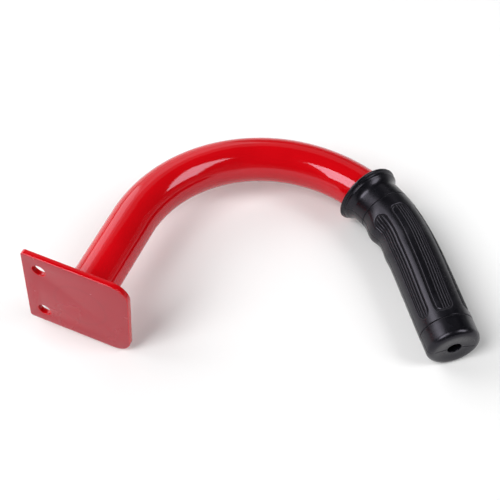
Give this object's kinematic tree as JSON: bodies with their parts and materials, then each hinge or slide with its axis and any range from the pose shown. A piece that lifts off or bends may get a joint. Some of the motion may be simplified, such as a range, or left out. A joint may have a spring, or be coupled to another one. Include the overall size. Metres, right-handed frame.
{
  "type": "post driver handle",
  "caption": "Curved steel tube handle welded to a flat bolt-on plate, with a ribbed rubber grip on its free end, for lifting and striking with a fence post driver.",
  "frame": {"origin": "on the plate's mounting face, where the axis of the tube meets it", "axes": "-Y is the outward normal of the mounting face, so the tube leaves the plate along +Y; the tube bends towards +X; Z is across the bend, along the plate's short bolted edge"},
  "size_m": [0.2867, 0.1945, 0.07],
  "materials": {
    "red_powder_coat": "gloss red powder coat on mild steel",
    "black_rubber": "satin black moulded rubber with long ribs"
  },
  "bodies": {
    "root": {"mounting_plate": "red_powder_coat", "handle_tube": "red_powder_coat", "tube_weld": "red_powder_coat", "hand_grip": "black_rubber"}
  },
  "joints": []
}
